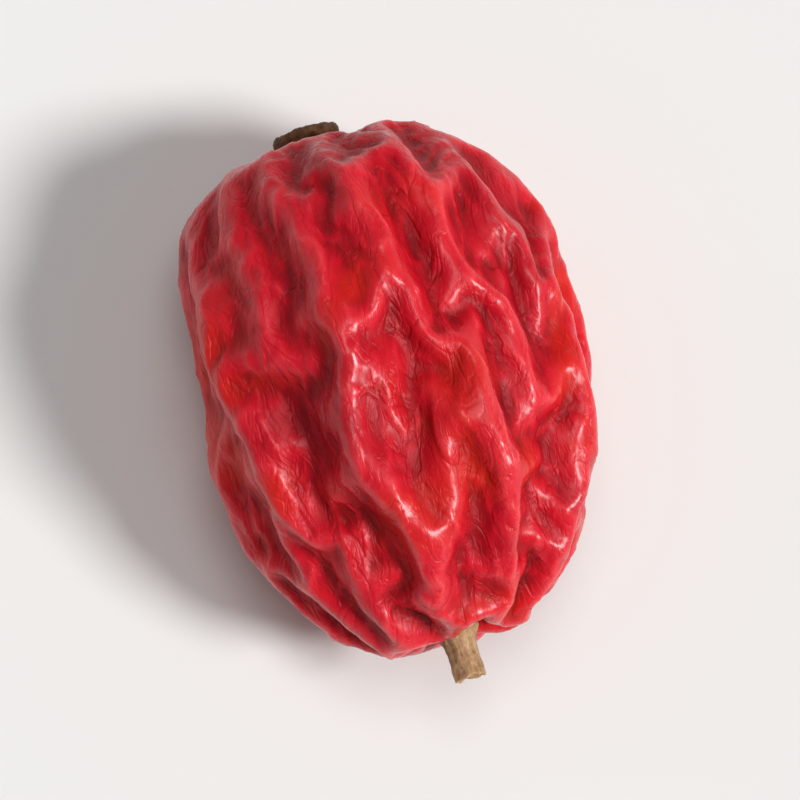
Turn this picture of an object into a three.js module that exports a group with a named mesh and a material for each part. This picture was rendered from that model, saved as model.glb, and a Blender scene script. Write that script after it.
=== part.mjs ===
// One dried barberry, lying on the small flat spot that it rests on.
// Units are millimetres. +X runs along the fruit towards the stigma, +Z is up, and z = 0 is the flat spot.
// Three solids: the wrinkled fruit, the button of the stigma at its tip and the stub of the stalk at its base.
import * as THREE from 'three';
import { mergeVertices } from 'three/addons/utils/BufferGeometryUtils.js';

// The fruit, between the rims of its two end pits.
const FRUIT_LENGTH = 8.8;
const FRUIT_WIDTH = 6.45;
const FRUIT_HEIGHT = 5.75;
const STALK_END_POWER = 2.15; // superellipsoid power: 2 is an ellipsoid, more is a blunter end
const STIGMA_END_POWER = 2.7;
const TIP_FULLNESS = 0.05; // how much wider the stigma's half is than the stalk's half
const BEND = 0.28; // sideways lean of both ends, towards +Y
const REST_DEPTH = 0.12; // how much of the underside is pressed flat
const REST_ROUNDING = 0.1; // height over which the flat spot's edge turns up
const MESH_DETAIL = 19; // 20 * (detail + 1)^2 triangles

// Drying wrinkles of the skin. Two families of lengthwise folds take turns, so that folds end and branch.
const BROAD_FOLD_COUNT = 9;
const NARROW_FOLD_COUNT = 14;
const FOLD_HEIGHT = 0.17;
const NARROW_FOLD_SHARE = 0.6; // height of a narrow fold against a broad one
const FOLD_WANDER = 0.1; // how far the folds stray round the fruit, in radians
const CROSS_FOLD_HEIGHT = 0.06;
const PLEAT_COUNT = 9; // short gathers round each end pit
const PLEAT_HEIGHT = 0.08;
const PLEAT_RADIUS = 1.15; // distance from the axis at which the gathers are deepest

// Broad hollows where the flesh has shrunk: direction from the middle, reach as an angle, and depth.
const HOLLOWS = [
  { towards: [0.15, -0.52, 0.84], reach: 0.4, depth: 0.34 },
  { towards: [-0.5, 0.5, 0.7], reach: 0.36, depth: 0.26 },
  { towards: [0.62, 0.45, 0.64], reach: 0.3, depth: 0.2 },
  { towards: [0.3, 0.92, -0.24], reach: 0.42, depth: 0.3 },
  { towards: [-0.35, -0.9, -0.25], reach: 0.4, depth: 0.28 },
  { towards: [-0.55, -0.55, 0.62], reach: 0.26, depth: 0.16 },
];

// The pits that hold the stigma and the stalk.
const STIGMA_PIT = { depth: 0.36, radius: 0.72 };
const STALK_PIT = { depth: 0.42, radius: 0.66 };

// The stigma: a dished button on a short neck.
const STIGMA_RADIUS = 0.6;
const STIGMA_NECK_RADIUS = 0.27;
const STIGMA_NECK_HEIGHT = 0.3;
const STIGMA_BUTTON_HEIGHT = 0.26;

// The stalk stub: a flared foot and a thin shaft, snapped off.
const STALK_FOOT_RADIUS = 0.4;
const STALK_SHAFT_RADIUS = 0.27;
const STALK_LENGTH = 0.95;
const STALK_DROOP = 0.12;

const SEAT_GAP = 0.05; // clear space between each end piece and the floor of its pit
const ROUND_STEPS = 20; // faces round the stigma and the stalk

// The height of the fruit's axis, which puts the flat spot at z = 0.
const AXIS_HEIGHT = FRUIT_HEIGHT / 2 - REST_DEPTH;

// A fold profile: narrow crests and broad hollows between them, from -1 to 1, once per turn of the phase.
function fold(phase) {
  return 1 - 2 * Math.abs(Math.sin(phase / 2)) ** 1.3;
}

// Height of the lengthwise folds and of the cross folds that tie them together.
function wrinkleHeight(along, around) {
  const fade = 1 - Math.abs(along) ** 4;
  const sway = Math.sin(3.1 * along + around + 0.5) + 0.5 * Math.sin(7.3 * along - 2 * around);
  const wander = FOLD_WANDER * sway;
  const share = 0.5 + 0.5 * Math.sin(3.4 * along + 2 * around + 1.2 * Math.sin(around + 2));
  const broad = share * fold(BROAD_FOLD_COUNT * (around + wander));
  const narrow = (1 - share) * fold(NARROW_FOLD_COUNT * (around - wander) + 1.3 * along);
  const crosswise = Math.sin(8 * along + 2.4 * Math.sin(2 * around + 0.4)) * Math.sin(5 * around + 3 * along);
  return fade * (FOLD_HEIGHT * (broad + NARROW_FOLD_SHARE * narrow) + CROSS_FOLD_HEIGHT * crosswise);
}

// Height of the short gathers round the end pits, radius being the distance from the axis.
function pleatHeight(radius, around, along) {
  const reach = radius / PLEAT_RADIUS;
  const strength = reach * Math.exp(1 - reach * reach) * Math.abs(along) ** 6;
  return PLEAT_HEIGHT * strength * Math.cos(PLEAT_COUNT * around + 1.7 * Math.sign(along));
}

function hollowDepth(direction) {
  let depth = 0;
  for (const hollow of HOLLOWS) {
    const angle = direction.angleTo(new THREE.Vector3(...hollow.towards));
    depth += hollow.depth * Math.exp(-((angle / hollow.reach) ** 2));
  }
  return depth;
}

// Presses the underside flat at z = 0, with an edge that turns up smoothly.
function pressFlat(height) {
  if (height <= 0) return 0;
  return height - REST_ROUNDING * (1 - Math.exp(-height / REST_ROUNDING));
}

// The point of the fruit's skin that lies in a direction from its middle.
function skinPoint(direction) {
  const radial = Math.hypot(direction.y, direction.z);
  const power = THREE.MathUtils.lerp(STALK_END_POWER, STIGMA_END_POWER, (1 + direction.x) / 2);
  const barrel = (Math.abs(direction.x) ** power + radial ** power) ** (-1 / power);
  const full = 1 + TIP_FULLNESS * direction.x;
  const half = new THREE.Vector3(FRUIT_LENGTH / 2, (FRUIT_WIDTH / 2) * full, (FRUIT_HEIGHT / 2) * full);
  const point = direction.clone().multiplyScalar(barrel).multiply(half);
  const normal = point.clone().divide(half).divide(half).normalize();

  const along = direction.x;
  const around = Math.atan2(direction.z, direction.y);
  const radius = Math.hypot(point.y, point.z);
  const relief = wrinkleHeight(along, around) + pleatHeight(radius, around, along) - hollowDepth(direction);
  point.addScaledVector(normal, relief);

  const pit = along > 0 ? STIGMA_PIT : STALK_PIT;
  point.x -= Math.sign(along) * pit.depth * Math.exp(-((radius / pit.radius) ** 2));
  point.y += BEND * (2 * point.x / FRUIT_LENGTH) ** 2;
  point.z = pressFlat(point.z + AXIS_HEIGHT);
  return point;
}

// Moves every vertex of a geometry to where place(vertex) says, and merges the copies that meet.
function reshape(geometry, place) {
  geometry.deleteAttribute('normal');
  geometry.deleteAttribute('uv');
  const shaped = mergeVertices(geometry, 1e-4);
  const position = shaped.getAttribute('position');
  const vertex = new THREE.Vector3();
  for (let i = 0; i < position.count; i++) {
    const placed = place(vertex.fromBufferAttribute(position, i));
    position.setXYZ(i, placed.x, placed.y, placed.z);
  }
  shaped.computeVertexNormals();
  return shaped;
}

function fruitGeometry() {
  return reshape(new THREE.IcosahedronGeometry(1, MESH_DETAIL), (vertex) => skinPoint(vertex.clone().normalize()));
}

// Turned about +Y from the floor of its pit, as LatheGeometry turns its profile.
function stigmaGeometry() {
  const rim = STIGMA_RADIUS;
  const top = STIGMA_NECK_HEIGHT + STIGMA_BUTTON_HEIGHT;
  const profile = new THREE.Path();
  profile.moveTo(0, 0);
  profile.lineTo(STIGMA_NECK_RADIUS * 1.15, 0);
  profile.quadraticCurveTo(STIGMA_NECK_RADIUS * 0.8, STIGMA_NECK_HEIGHT * 0.6, rim * 0.8, STIGMA_NECK_HEIGHT);
  profile.quadraticCurveTo(rim * 1.12, STIGMA_NECK_HEIGHT + STIGMA_BUTTON_HEIGHT * 0.45, rim * 0.84, top);
  profile.quadraticCurveTo(rim * 0.62, top + 0.02, rim * 0.45, top - STIGMA_BUTTON_HEIGHT * 0.45);
  profile.quadraticCurveTo(rim * 0.2, top - STIGMA_BUTTON_HEIGHT * 0.62, 0, top - STIGMA_BUTTON_HEIGHT * 0.5);
  return reshape(new THREE.LatheGeometry(profile.getPoints(4), ROUND_STEPS), (vertex) => {
    const around = Math.atan2(vertex.z, vertex.x);
    const uneven = 1 + 0.06 * Math.cos(2 * around + 0.5) + 0.05 * Math.cos(5 * around);
    return vertex.set(vertex.x * uneven, vertex.y, vertex.z * uneven);
  });
}

// Turned about +Y from the floor of its pit, then bent, with a ragged end where it snapped.
function stalkGeometry() {
  const profile = new THREE.Path();
  profile.moveTo(0, 0);
  profile.lineTo(STALK_FOOT_RADIUS * 0.8, 0);
  profile.quadraticCurveTo(STALK_FOOT_RADIUS * 1.1, 0.18, STALK_SHAFT_RADIUS * 1.05, 0.42);
  profile.lineTo(STALK_SHAFT_RADIUS * 0.92, STALK_LENGTH * 0.8);
  profile.lineTo(STALK_SHAFT_RADIUS, STALK_LENGTH);
  profile.lineTo(STALK_SHAFT_RADIUS * 0.5, STALK_LENGTH * 1.02);
  profile.lineTo(0, STALK_LENGTH * 0.94);
  return reshape(new THREE.LatheGeometry(profile.getPoints(4), ROUND_STEPS), (vertex) => {
    const around = Math.atan2(vertex.z, vertex.x);
    const along = vertex.y / STALK_LENGTH;
    const ribs = 1 + 0.07 * Math.cos(5 * around) * Math.min(1, along * 2);
    const snapped = along > 0.9 ? 0.05 * Math.sin(3 * around + 0.8) : 0;
    const droop = STALK_DROOP * along * along;
    return vertex.set(vertex.x * ribs, vertex.y + snapped, vertex.z * ribs - droop);
  });
}

function piece(name, geometry, colour, roughness) {
  const mesh = new THREE.Mesh(
    geometry,
    new THREE.MeshStandardMaterial({ color: colour, roughness, metalness: 0 }),
  );
  mesh.name = name;
  return mesh;
}

// Stands a turned piece in a pit, its own +Y pointing out of the fruit.
function seat(mesh, outward) {
  const floor = skinPoint(new THREE.Vector3(outward, 0, 0));
  mesh.rotation.z = -outward * Math.PI / 2;
  mesh.position.set(floor.x + outward * SEAT_GAP, floor.y, floor.z);
  return mesh;
}

const barberry = new THREE.Group();
barberry.name = 'barberry';
barberry.add(
  piece('fruit', fruitGeometry(), 0xb3142a, 0.35),
  seat(piece('stigma', stigmaGeometry(), 0x2a1610, 0.7), 1),
  seat(piece('stalk_stub', stalkGeometry(), 0x9c7a4e, 0.8), -1),
);

// The origin is on the flat spot, under the middle of the whole object's box.
const middle = new THREE.Box3().setFromObject(barberry, true).getCenter(new THREE.Vector3());
barberry.position.set(-middle.x, -middle.y, 0);

export default barberry;
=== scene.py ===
import math
import random

import bpy
import numpy as np
from mathutils import Matrix, Vector


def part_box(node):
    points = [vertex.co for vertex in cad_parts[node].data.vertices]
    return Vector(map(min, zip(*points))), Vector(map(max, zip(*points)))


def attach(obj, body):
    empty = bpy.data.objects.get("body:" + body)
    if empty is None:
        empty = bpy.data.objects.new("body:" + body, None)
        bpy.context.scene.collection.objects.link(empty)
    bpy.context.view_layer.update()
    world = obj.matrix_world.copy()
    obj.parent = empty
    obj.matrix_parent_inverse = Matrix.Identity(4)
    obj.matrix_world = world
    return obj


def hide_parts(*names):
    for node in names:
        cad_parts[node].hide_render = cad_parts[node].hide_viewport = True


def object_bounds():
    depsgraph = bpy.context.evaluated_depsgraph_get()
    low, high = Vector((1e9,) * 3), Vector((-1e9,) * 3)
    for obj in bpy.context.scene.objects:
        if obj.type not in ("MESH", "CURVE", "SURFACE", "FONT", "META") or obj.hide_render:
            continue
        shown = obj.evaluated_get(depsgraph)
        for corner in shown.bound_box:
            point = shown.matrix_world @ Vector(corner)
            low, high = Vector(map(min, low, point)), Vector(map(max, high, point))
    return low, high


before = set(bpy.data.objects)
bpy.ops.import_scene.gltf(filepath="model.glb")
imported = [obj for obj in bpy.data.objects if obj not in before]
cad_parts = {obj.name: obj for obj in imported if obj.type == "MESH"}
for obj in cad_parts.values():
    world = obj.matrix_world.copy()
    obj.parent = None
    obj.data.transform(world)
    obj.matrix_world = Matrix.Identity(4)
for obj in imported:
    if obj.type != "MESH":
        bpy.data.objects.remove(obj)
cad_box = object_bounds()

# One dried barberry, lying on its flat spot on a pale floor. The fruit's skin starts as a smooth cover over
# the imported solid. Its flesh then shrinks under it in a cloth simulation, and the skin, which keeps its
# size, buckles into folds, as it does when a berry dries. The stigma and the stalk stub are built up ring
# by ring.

MM = 0.001
BENCH = 100.0  # pieces are worked on at this many times their size, where the solver is steady

# The skin and its drying.
COVER_LEVEL = 6  # subdivisions of the ball that the cover starts as
COVER_MARGIN = 1.02  # how far outside the fruit the ball starts
COVER_SMOOTHING = 8
FLESH_SHRINK = 0.985  # leaves room inside the fruit's box for the folds
SKIN_SPARE_ROUND = 0.13  # spare skin round the fruit, which buckles into lengthwise folds
SKIN_SPARE_ALONG = 0.03  # spare skin along it, which kinks and joins them
SPARE_SWING = 0.6  # how much more spare skin the wrinkled side has than the smooth side
SMOOTH_SIDE = Vector((0.7, 0.5, 0.15))  # from the middle towards the plumpest part
DRYING_FRAMES = 15
SETTLED_FRAME = 28
FLESH_PIN = 0.88  # pin weight away from the ends, where a weight of 1 fixes the skin
FLESH_GRIP = 0.08  # stiffness of the soft pins
SKIN_STIFFNESS = 40.0
SKIN_BENDING = 320.0
END_HOLD = 0.93  # share of the half length past which the skin is fixed to the ends
FINE_FOLD_DEPTH = 0.035 * MM
FINE_FOLD_SIZE = 0.4 * MM
GRAIN_STRETCH = 2.2  # how much longer the fine folds are than wide
UNDERSIDE_RISE = 0.2 * MM  # how much the underside curves up, away from the middle of the flat spot
UNDERSIDE_REACH = (3.0 * MM, 2.2 * MM)  # how far out along and across the fruit it has risen by that much
UNDERSIDE_DEPTH = 0.8 * MM  # the height in which this fades out
REST_ROUNDING = 0.1 * MM  # height over which the flat spot's edge turns up

SEED = 7


def deselect():
    bpy.ops.object.select_all(action="DESELECT")


def pick(piece):
    """Makes a piece the only one selected, and active."""
    deselect()
    piece.select_set(True)
    bpy.context.view_layer.objects.active = piece


def points_of(mesh):
    """The mesh's points as an array of rows."""
    points = np.empty(len(mesh.vertices) * 3)
    mesh.vertices.foreach_get("co", points)
    return points.reshape(-1, 3)


def move_points(mesh, points):
    mesh.vertices.foreach_set("co", points.ravel())
    mesh.update()


def normals_of(mesh):
    normals = np.empty(len(mesh.vertices) * 3)
    mesh.vertex_normals.foreach_get("vector", normals)
    return normals.reshape(-1, 3)


def edges_of(mesh):
    ends = np.empty(len(mesh.edges) * 2, dtype=int)
    mesh.edges.foreach_get("vertices", ends)
    return ends.reshape(-1, 2)


def smoothed(mesh, values, rounds):
    """Values at the points, each averaged with its neighbours a number of times."""
    first, second = edges_of(mesh).T
    count = len(mesh.vertices)
    neighbours = np.bincount(first, minlength=count) + np.bincount(second, minlength=count)
    result = values.copy()
    for _ in range(rounds):
        total = np.zeros_like(result)
        for axis in range(result.shape[1]):
            total[:, axis] = np.bincount(first, result[second, axis], count)
            total[:, axis] += np.bincount(second, result[first, axis], count)
        result = 0.5 * result + 0.5 * total / neighbours[:, None]
    return result


def finish_modifier(piece, kind, **settings):
    """Adds a modifier to a piece and applies it."""
    pick(piece)
    modifier = piece.modifiers.new(kind.lower(), kind)
    for key, value in settings.items():
        setattr(modifier, key, value)
    bpy.ops.object.modifier_apply(modifier=modifier.name)


def shrink_to_size(piece):
    """Takes a piece from bench scale to its real size, its object at the origin."""
    piece.data.transform(piece.matrix_world)
    piece.matrix_world.identity()
    move_points(piece.data, points_of(piece.data) / BENCH)
    pick(piece)
    bpy.ops.object.shade_smooth()


# ---------------------------------------------------------------- the fruit


def guide_solid(node):
    """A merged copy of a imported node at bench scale, for the cover to follow."""
    guide = bpy.data.objects.new(node + "_guide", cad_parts[node].data.copy())
    bpy.context.scene.collection.objects.link(guide)
    move_points(guide.data, points_of(guide.data) * BENCH)
    pick(guide)
    bpy.ops.object.mode_set(mode="EDIT")
    bpy.ops.mesh.select_all(action="SELECT")
    bpy.ops.mesh.remove_doubles(threshold=1e-5)
    bpy.ops.object.mode_set(mode="OBJECT")
    return guide


def smooth_cover(guide, low, high):
    """A ball drawn in on to the guide along its own normals, then evened out."""
    middle = (low + high) / 2 * BENCH
    half = (high - low) / 2 * BENCH * COVER_MARGIN
    deselect()
    bpy.ops.mesh.primitive_ico_sphere_add(subdivisions=COVER_LEVEL, radius=1, location=middle, scale=half)
    bpy.ops.object.transform_apply()
    cover = bpy.context.object
    cover.name = "dried_fruit"
    finish_modifier(
        cover,
        "SHRINKWRAP",
        target=guide,
        wrap_method="PROJECT",
        use_negative_direction=True,
        use_positive_direction=True,
    )
    finish_modifier(cover, "SMOOTH", factor=0.5, iterations=COVER_SMOOTHING)
    return cover


def hold_on_flesh(skin, along):
    """Pins the skin softly to the flesh all over, and firmly round the two ends."""
    grip = skin.vertex_groups.new(name="flesh")
    firm = np.clip((np.abs(along) - END_HOLD) / (1 - END_HOLD), FLESH_PIN, 1)
    for index, weight in enumerate(firm):
        grip.add([index], float(weight), "REPLACE")
    return grip.name


def dry(skin, low, high):
    """Shrinks the flesh under the skin, whose own size stays, so that it buckles."""
    middle = np.array((low + high) / 2) * BENCH
    half = np.array((high - low) / 2) * BENCH
    flesh = middle + (points_of(skin.data) - middle) * FLESH_SHRINK
    outward = (flesh - middle) / half
    shade = outward @ np.array(SMOOTH_SIDE.normalized())
    spare_round = SKIN_SPARE_ROUND * (1 - SPARE_SWING * shade)
    spare_along = np.full_like(spare_round, SKIN_SPARE_ALONG)
    spare = np.stack([spare_along, spare_round, spare_round], 1)
    move_points(skin.data, flesh + (flesh - middle) * spare)

    skin.shape_key_add(name="fresh")
    dried = skin.shape_key_add(name="dried")
    dried.data.foreach_set("co", flesh.ravel())
    dried.value = 0
    dried.keyframe_insert("value", frame=1)
    dried.value = 1
    dried.keyframe_insert("value", frame=DRYING_FRAMES)

    cloth = skin.modifiers.new("drying", "CLOTH")
    settings = cloth.settings
    settings.quality = 8
    settings.mass = 0.3
    settings.tension_stiffness = SKIN_STIFFNESS
    settings.compression_stiffness = SKIN_STIFFNESS
    settings.shear_stiffness = SKIN_STIFFNESS / 2
    settings.bending_model = "ANGULAR"
    settings.bending_stiffness = SKIN_BENDING
    settings.bending_damping = 0.5
    settings.vertex_group_mass = hold_on_flesh(skin, outward[:, 0])
    settings.pin_stiffness = FLESH_GRIP
    settings.effector_weights.gravity = 0
    cloth.collision_settings.use_collision = False
    cloth.point_cache.frame_end = SETTLED_FRAME
    scene = bpy.context.scene
    for number in range(1, SETTLED_FRAME + 1):
        scene.frame_set(number)
    pick(skin)
    bpy.ops.object.convert(target="MESH")
    scene.frame_set(1)


def fine_folds(skin):
    """Small creases between the folds, longer along the fruit than round it."""
    grain = bpy.data.objects.new("grain", None)
    grain.scale = (GRAIN_STRETCH * BENCH, BENCH, BENCH)
    bpy.context.scene.collection.objects.link(grain)
    texture = bpy.data.textures.new("shrivel", "MUSGRAVE")
    texture.musgrave_type = "RIDGED_MULTIFRACTAL"
    texture.noise_scale = FINE_FOLD_SIZE
    texture.octaves = 2.5
    finish_modifier(
        skin,
        "DISPLACE",
        texture=texture,
        texture_coords="OBJECT",
        texture_coords_object=grain,
        strength=FINE_FOLD_DEPTH * BENCH,
        mid_level=0.5,
    )
    bpy.data.objects.remove(grain)


def press_flat(skin):
    """Presses what hangs below the floor flat on to it, with an edge that turns up smoothly."""
    points = points_of(skin.data)
    out = np.sum((points[:, :2] / np.array(UNDERSIDE_REACH)) ** 2, axis=1)
    points[:, 2] += UNDERSIDE_RISE * out * np.exp(-np.maximum(points[:, 2], 0) / UNDERSIDE_DEPTH)
    height = np.maximum(points[:, 2], 0)
    points[:, 2] = height - REST_ROUNDING * (1 - np.exp(-height / REST_ROUNDING))
    move_points(skin.data, points)


def note_relief(piece, name, rounds, full):
    """Stores each point's height above the surface evened by so many rounds, from -1 to 1."""
    mesh = piece.data
    points = points_of(mesh)
    lift = np.einsum("ij,ij->i", points - smoothed(mesh, points, rounds), normals_of(mesh))
    attribute = mesh.attributes.new(name, "FLOAT", "POINT")
    attribute.data.foreach_set("value", np.clip(lift / full, -1, 1))


def dried_fruit():
    low, high = (Vector(corner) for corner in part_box("fruit"))
    guide = guide_solid("fruit")
    fruit = smooth_cover(guide, low, high)
    bpy.data.objects.remove(guide)
    dry(fruit, low, high)
    finish_modifier(fruit, "SUBSURF", levels=1, render_levels=1)
    fine_folds(fruit)
    shrink_to_size(fruit)
    press_flat(fruit)
    note_relief(fruit, "fold_height", 60, 0.16 * MM)
    note_relief(fruit, "crease_height", 6, 0.02 * MM)
    return fruit


# ---------------------------------------------------------------- the stigma and the stalk stub

ROOT_DEPTH = 0.02 * MM  # how far the foot of each end piece stands back from its node's box


def choose(piece, test):
    """Selects the points for which test(place) holds, in edit mode."""
    bpy.ops.object.mode_set(mode="OBJECT")
    for vertex in piece.data.vertices:
        vertex.select = test(vertex.co)
    for edge in piece.data.edges:
        edge.select = all(piece.data.vertices[end].select for end in edge.vertices)
    for face in piece.data.polygons:
        face.select = all(piece.data.vertices[end].select for end in face.vertices)
    bpy.ops.object.mode_set(mode="EDIT")


def stack(name, sides, rings):
    """A closed solid extruded up from a disc, ring by ring: (height, radius, sideways shift), in mm."""
    unit = MM * BENCH
    height, radius, shift = rings[0]
    deselect()
    bpy.ops.mesh.primitive_circle_add(
        vertices=sides, radius=radius * unit, fill_type="NGON", location=(shift * unit, 0, height * unit)
    )
    bpy.ops.object.transform_apply()
    piece = bpy.context.object
    piece.name = name
    bpy.ops.object.mode_set(mode="EDIT")
    bpy.ops.mesh.select_all(action="SELECT")
    for next_height, next_radius, next_shift in rings[1:]:
        step = ((next_shift - shift) * unit, 0, (next_height - height) * unit)
        centre = (next_shift * unit, 0, next_height * unit)
        growth = next_radius / radius
        bpy.ops.mesh.extrude_region_move(TRANSFORM_OT_translate={"value": step})
        bpy.ops.transform.resize(value=(growth, growth, 1), center_override=centre)
        height, radius, shift = next_height, next_radius, next_shift
    bpy.ops.mesh.select_all(action="SELECT")
    bpy.ops.mesh.normals_make_consistent(inside=False)
    bpy.ops.object.mode_set(mode="OBJECT")
    return piece


def flute(piece, sides, low, high, pinch, sink=0.0):
    """Draws every other line of points between two heights in towards the axis and down by sink, in mm."""
    unit = MM * BENCH

    def on_groove(place):
        turn = math.atan2(place.y, place.x) / math.tau * sides
        return round(turn) % 2 == 0 and low * unit < place.z < high * unit

    pick(piece)
    choose(piece, on_groove)
    bpy.ops.transform.resize(value=(pinch, pinch, 1), center_override=(0, 0, 0))
    bpy.ops.transform.translate(value=(0, 0, -sink * unit))
    bpy.ops.object.mode_set(mode="OBJECT")


def splinter(piece, low, most):
    """Breaks the end off unevenly: each point above a height in mm is moved along by its own amount."""
    draw = random.Random(SEED)
    unit = MM * BENCH
    for vertex in piece.data.vertices:
        if vertex.co.z > low * unit:
            vertex.co.z += draw.uniform(-most, most) * unit


def roughen(piece, size, depth):
    """Gives a piece an uneven surface, by a cloud of a size and depth in mm."""
    texture = bpy.data.textures.new(piece.name + "_unevenness", "CLOUDS")
    texture.noise_scale = size * MM * BENCH
    texture.noise_depth = 3
    finish_modifier(
        piece,
        "DISPLACE",
        texture=texture,
        texture_coords="LOCAL",
        strength=depth * MM * BENCH,
        mid_level=0.5,
    )


def stand_in_pit(piece, foot, outward):
    """Turns a piece, made along +Z, to point along the fruit, with its foot at a place."""
    piece.rotation_euler = (0, outward * math.pi / 2, 0)
    piece.location = foot * BENCH
    bpy.context.view_layer.update()
    shrink_to_size(piece)


def stigma_button():
    sides = 24
    rings = [
        (-0.12, 0.26, 0),
        (0.05, 0.25, 0),
        (0.18, 0.25, 0),
        (0.26, 0.34, 0),
        (0.31, 0.5, 0),
        (0.36, 0.585, 0),
        (0.44, 0.6, 0),
        (0.52, 0.57, 0),
        (0.57, 0.5, 0),
        (0.56, 0.43, 0),
        (0.48, 0.37, 0),
        (0.4, 0.28, 0),
        (0.36, 0.18, 0),
        (0.38, 0.08, 0),
    ]
    low, high = (Vector(corner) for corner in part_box("stigma"))
    button = stack("stigma_button", sides, rings)
    flute(button, sides, 0.28, 0.6, 0.93, 0.05)
    finish_modifier(button, "SUBSURF", levels=3, render_levels=3)
    roughen(button, 0.16, 0.07)
    roughen(button, 0.05, 0.02)
    foot = Vector((low.x - ROOT_DEPTH, (low.y + high.y) / 2, (low.z + high.z) / 2))
    stand_in_pit(button, foot, 1)
    note_relief(button, "fold_height", 200, 0.09 * MM)
    return button


def stalk_piece():
    sides = 20
    length = 0.95
    foot_radius = 0.41
    rings = [
        (-0.12, 0.34, 0),
        (0.03, 0.4, 0),
        (0.1, foot_radius, 0),
        (0.2, 0.35, 0.005),
        (0.32, 0.29, 0.01),
        (0.5, 0.27, 0.03),
        (0.68, 0.265, 0.06),
        (0.82, 0.27, 0.09),
        (length, 0.285, 0.12),
        (length - 0.03, 0.2, 0.12),
        (length - 0.1, 0.12, 0.11),
        (length - 0.12, 0.05, 0.11),
    ]
    low, high = (Vector(corner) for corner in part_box("stalk_stub"))
    stub = stack("stalk_piece", sides, rings)
    flute(stub, sides, 0.15, 0.6, 0.9)
    splinter(stub, 0.8, 0.05)
    finish_modifier(stub, "SUBSURF", levels=3, render_levels=3)
    roughen(stub, 0.12, 0.04)
    foot = Vector((high.x + ROOT_DEPTH, (low.y + high.y) / 2, high.z - foot_radius * MM))
    stand_in_pit(stub, foot, -1)
    note_relief(stub, "fold_height", 12, 0.02 * MM)
    return stub


# ---------------------------------------------------------------- finishes


class Value:
    """A socket of numbers. An operator on it adds the Math node that works it out."""

    def __init__(self, finish, socket):
        self.finish = finish
        self.socket = socket

    def worked(self, operation, first, second=0.0):
        return self.finish.node("ShaderNodeMath", {"operation": operation}, {0: first, 1: second})

    def __add__(self, other):
        return self.worked("ADD", self, other)

    def __sub__(self, other):
        return self.worked("SUBTRACT", self, other)

    def __mul__(self, other):
        return self.worked("MULTIPLY", self, other)

    def __rsub__(self, other):
        return self.worked("SUBTRACT", other, self)

    __radd__ = __add__

    def within(self, low, high):
        """0 below low, 1 above high, and a smooth rise between them."""
        return self.finish.node(
            "ShaderNodeMapRange", {"interpolation_type": "SMOOTHSTEP"}, {"Value": self, 1: low, 2: high}
        )


class Finish:
    """A material with one Principled shader, whose varying sockets are fed by nodes."""

    def __init__(self, name, **constants):
        self.material = bpy.data.materials.new(name)
        self.material.use_nodes = True
        self.tree = self.material.node_tree
        self.shader = self.tree.nodes["Principled BSDF"]
        for socket, value in constants.items():
            self.shader.inputs[socket.replace("_", " ")].default_value = value

    def node(self, kind, settings, sockets, output=0):
        """Adds a node. Its settings and ramp stops are set first, then its sockets' values or links."""
        node = self.tree.nodes.new(kind)
        for name, value in settings.items():
            if name == "stops":
                self.set_stops(node.color_ramp, value)
            else:
                setattr(node, name, value)
        for name, value in sockets.items():
            if isinstance(value, Value):
                self.tree.links.new(value.socket, node.inputs[name])
            else:
                node.inputs[name].default_value = value
        return Value(self, node.outputs[output])

    @staticmethod
    def set_stops(ramp, stops):
        while len(ramp.elements) < len(stops):
            ramp.elements.new(1.0)
        for element, (place, colour) in zip(ramp.elements, stops):
            element.position = place
            element.color = (*colour, 1)

    def place(self, scale=(1, 1, 1)):
        """The place on the object, in metres, stretched along its axes."""
        here = self.node("ShaderNodeTexCoord", {}, {}, "Object")
        return self.node("ShaderNodeMapping", {}, {"Vector": here, "Scale": scale})

    def noise(self, place, size, detail=3.0, distortion=0.0):
        """Clouds from 0 to 1, size being their width in metres."""
        sockets = {"Vector": place, "Scale": 1 / size, "Detail": detail, "Distortion": distortion}
        return self.node("ShaderNodeTexNoise", {}, sockets)

    def crinkles(self, place, size, width):
        """0 in a net of thin creases and 1 between them."""
        net = self.noise(place, size, 2, 0.8)
        return self.node("ShaderNodeMath", {"operation": "ABSOLUTE"}, {0: net - 0.5}).within(0, width)

    def attribute(self, name):
        return self.node("ShaderNodeAttribute", {"attribute_name": name}, {}, "Fac")

    def ramp(self, value, stops):
        return self.node("ShaderNodeValToRGB", {"stops": stops}, {0: value})

    def blend(self, share, first, second):
        """Two colours mixed by a share."""
        sockets = {0: share, 6: self.opaque(first), 7: self.opaque(second)}
        return self.node("ShaderNodeMix", {"data_type": "RGBA"}, sockets, 2)

    @staticmethod
    def opaque(colour):
        return colour if isinstance(colour, Value) else (*colour, 1)

    def feed(self, **sockets):
        """Links values to the shader's own sockets."""
        for name, value in sockets.items():
            self.tree.links.new(value.socket, self.shader.inputs[name.replace("_", " ")])

    def bump(self, height, distance, strength=1.0):
        """A Normal that raises the surface by height times distance, in metres."""
        sockets = {"Height": height, "Distance": distance, "Strength": strength}
        return self.node("ShaderNodeBump", {}, sockets)


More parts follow.
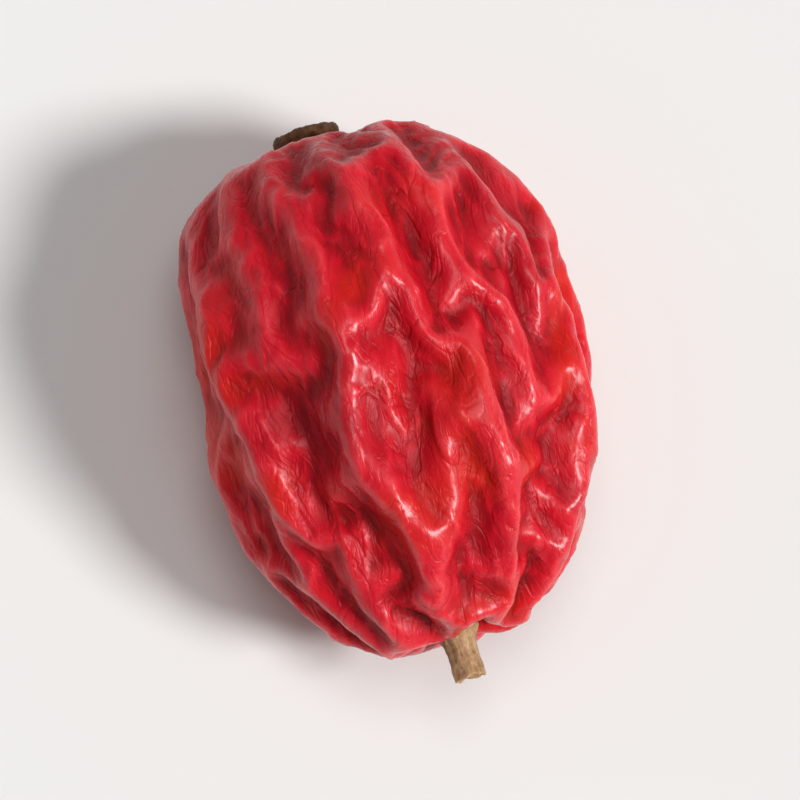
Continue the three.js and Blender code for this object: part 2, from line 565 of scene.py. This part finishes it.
def skin_finish():
    finish = Finish(
        "dried_skin",
        Subsurface_Weight=0.14,
        Subsurface_Radius=(1.0, 0.14, 0.07),
        Subsurface_Scale=0.7 * MM,
        Specular_IOR_Level=0.3,
        Specular_Tint=(1, 0.6, 0.62, 1),
        Coat_Roughness=0.24,
        Coat_IOR=1.4,
    )
    fold = finish.attribute("fold_height")
    crease = finish.attribute("crease_height")
    here = finish.place()
    grain = finish.place((0.42, 1, 1))
    blotches = finish.noise(here, 2.4 * MM, 3, 0.6)
    freckles = finish.noise(grain, 0.12 * MM, 2)
    flecks = finish.noise(grain, 0.5 * MM, 4, 0.4)
    puckers = finish.crinkles(grain, 0.42 * MM, 0.07)
    crackle = finish.crinkles(grain, 0.17 * MM, 0.1)

    # The ramp darkens the skin in the fold valleys and creases and lightens it on the ridges, which is
    # painted shade; the flecks add random tone.
    height = fold * 0.34 + crease * 0.22 + (flecks - 0.5) * 0.3 + puckers * 0.08 + 0.44
    tone_with_crease_shade = finish.ramp(
        height,
        [
            (0.0, (0.1, 0.0004, 0.002)),
            (0.28, (0.29, 0.001, 0.005)),
            (0.5, (0.5, 0.002, 0.012)),
            (0.72, (0.62, 0.01, 0.024)),
            (1.0, (0.74, 0.045, 0.055)),
        ],
    )
    warm = finish.blend(blotches.within(0.5, 0.66) * 0.55, tone_with_crease_shade, (0.6, 0.016, 0.002))
    ripe = finish.blend(blotches.within(0.5, 0.34) * 0.5, warm, (0.24, 0.0005, 0.006))
    # Pale pink flecks on the fold ridges only: a painted highlight.
    painted_ridge_highlight = freckles.within(0.62, 0.72) * fold.within(0.0, 0.7) * 0.18
    finish.feed(
        Base_Color=finish.blend(painted_ridge_highlight, ripe, (0.85, 0.16, 0.14)),
        Roughness=0.34 + flecks * 0.16 - fold * 0.12 - crease * 0.04,
        Coat_Weight=fold.within(-0.2, 0.6) * (0.95 - blotches * 0.6),
        Normal=finish.bump(puckers * 0.8 + crackle * 0.3 + freckles * 0.2 + flecks * 0.8, 0.03 * MM, 0.5),
    )
    return finish.material


def stigma_finish():
    finish = Finish("dark_stigma", Specular_IOR_Level=0.25, Specular_Tint=(1, 0.8, 0.65, 1))
    fold = finish.attribute("fold_height")
    grain = finish.noise(finish.place(), 0.12 * MM, 5, 0.5)
    # Darker in the dish and hollows and lighter on the rim, by the fold height: painted shade. The grain
    # adds random tone.
    shade = fold * 0.4 + grain * 0.5 + 0.25
    stops = [(0.15, (0.007, 0.003, 0.002)), (0.5, (0.05, 0.02, 0.01)), (0.9, (0.2, 0.09, 0.04))]
    finish.feed(
        Base_Color=finish.ramp(shade, stops),
        Roughness=0.45 + grain * 0.35,
        Normal=finish.bump(grain, 0.02 * MM, 0.7),
    )
    return finish.material


def stalk_finish():
    finish = Finish("dry_stalk", Specular_IOR_Level=0.3, Subsurface_Weight=0.1, Subsurface_Scale=0.3 * MM)
    fold = finish.attribute("fold_height")
    fibres = finish.noise(finish.place((0.12, 1, 1)), 0.06 * MM, 4, 0.3)
    patches = finish.noise(finish.place(), 0.4 * MM, 3)
    # Darker in the grooves and lighter on their crests, by the fold height: painted shade. Fibres and
    # patches add the stalk's own tone.
    shade = fold * 0.3 + fibres * 0.6 + patches * 0.4 - 0.05
    stops = [(0.2, (0.12, 0.05, 0.022)), (0.5, (0.42, 0.26, 0.13)), (0.85, (0.72, 0.55, 0.34))]
    finish.feed(
        Base_Color=finish.ramp(shade, stops),
        Roughness=0.6 + fibres * 0.25,
        Normal=finish.bump(fibres, 0.02 * MM, 0.8),
    )
    return finish.material


def wear(piece, material):
    piece.data.materials.clear()
    piece.data.materials.append(material)


# ---------------------------------------------------------------- floor, light and camera


def aim(thing, place, target, up):
    """Puts a camera or light at a place, looking at a target with a given direction upwards."""
    away = (place - target).normalized()
    right = up.cross(away).normalized()
    turned = Matrix((right, away.cross(right), away)).transposed()
    thing.matrix_world = Matrix.Translation(place) @ turned.to_4x4()


# Sizes here are in metres.
LEAN = math.radians(17)  # how far the fruit's length leans off upright in the view
UP = Vector((math.cos(LEAN), -math.sin(LEAN), 0))  # the view's upward and rightward directions
RIGHT = Vector((-math.sin(LEAN), -math.cos(LEAN), 0))
LOOK_DOWN = math.radians(82)  # the camera's angle above the floor
CAMERA_DISTANCE = 0.09
CAMERA_LENS = 245  # in mm
NEAREST_SEEN = 0.002
FLOOR_SIZE = 1.4
FLAT_FLOOR = 0.2  # distance from the middle past which the floor turns up
FLOOR_CURVE = 0.5  # its height there, over the square of the distance past the flat


def camera(target):
    data = bpy.data.cameras.new("camera")
    data.lens = CAMERA_LENS
    data.clip_start = NEAREST_SEEN
    camera_object = bpy.data.objects.new("camera", data)
    bpy.context.scene.collection.objects.link(camera_object)
    place = target + CAMERA_DISTANCE * (math.sin(LOOK_DOWN) * Vector((0, 0, 1)) - math.cos(LOOK_DOWN) * UP)
    aim(camera_object, place, target, UP)
    bpy.context.scene.camera = camera_object


def soft_light(name, across, upwards, height, spread, strength):
    """A far-off light of a spread in degrees, from so far to the right, up and above in the view."""
    data = bpy.data.lights.new(name, "SUN")
    data.angle = math.radians(spread)
    data.energy = strength
    light = bpy.data.objects.new(name, data)
    bpy.context.scene.collection.objects.link(light)
    aim(light, across * RIGHT + upwards * UP + height * Vector((0, 0, 1)), Vector(), UP)


def studio():
    soft_light("key", 0.38, -0.1, 0.4, 14, 2.9)
    soft_light("top", 0.04, 0.1, 0.7, 24, 0.76)
    soft_light("rim", -0.46, 0.2, 0.26, 18, 0.06)
    world = bpy.data.worlds.new("studio")
    world.use_nodes = True
    sky = world.node_tree.nodes["Background"]
    sky.inputs["Color"].default_value = (0.95, 0.97, 1, 1)
    sky.inputs["Strength"].default_value = 0.18
    bpy.context.scene.world = world
    bpy.context.scene.view_settings.view_transform = "Standard"


def floor():
    """A wide floor, which turns up a little towards its far edges."""
    deselect()
    bpy.ops.mesh.primitive_grid_add(x_subdivisions=60, y_subdivisions=60, size=FLOOR_SIZE)
    sheet = bpy.context.object
    sheet.name = "floor"
    points = points_of(sheet.data)
    far = np.maximum(np.hypot(points[:, 0], points[:, 1]) - FLAT_FLOOR, 0)
    points[:, 2] = FLOOR_CURVE * far**2
    move_points(sheet.data, points)
    bpy.ops.object.shade_smooth()
    finish = Finish("pale_floor", Roughness=0.7, Base_Color=(0.78, 0.77, 0.75, 1))
    wear(sheet, finish.material)


# ---------------------------------------------------------------- the scene

low_corner, high_corner = (Vector(corner) for corner in cad_box)
centre = (low_corner + high_corner) / 2
camera(centre)
studio()
floor()

PIECES = [
    (dried_fruit, "fruit", "fruit_skin", skin_finish),
    (stigma_button, "stigma", "dried_stigma", stigma_finish),
    (stalk_piece, "stalk_stub", "dry_stalk", stalk_finish),
]
for make, node, slot, finish_of in PIECES:
    piece = make()
    wear(piece, finish_of())
    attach(piece, "root")
    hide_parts(node)

bpy.context.view_layer.update()
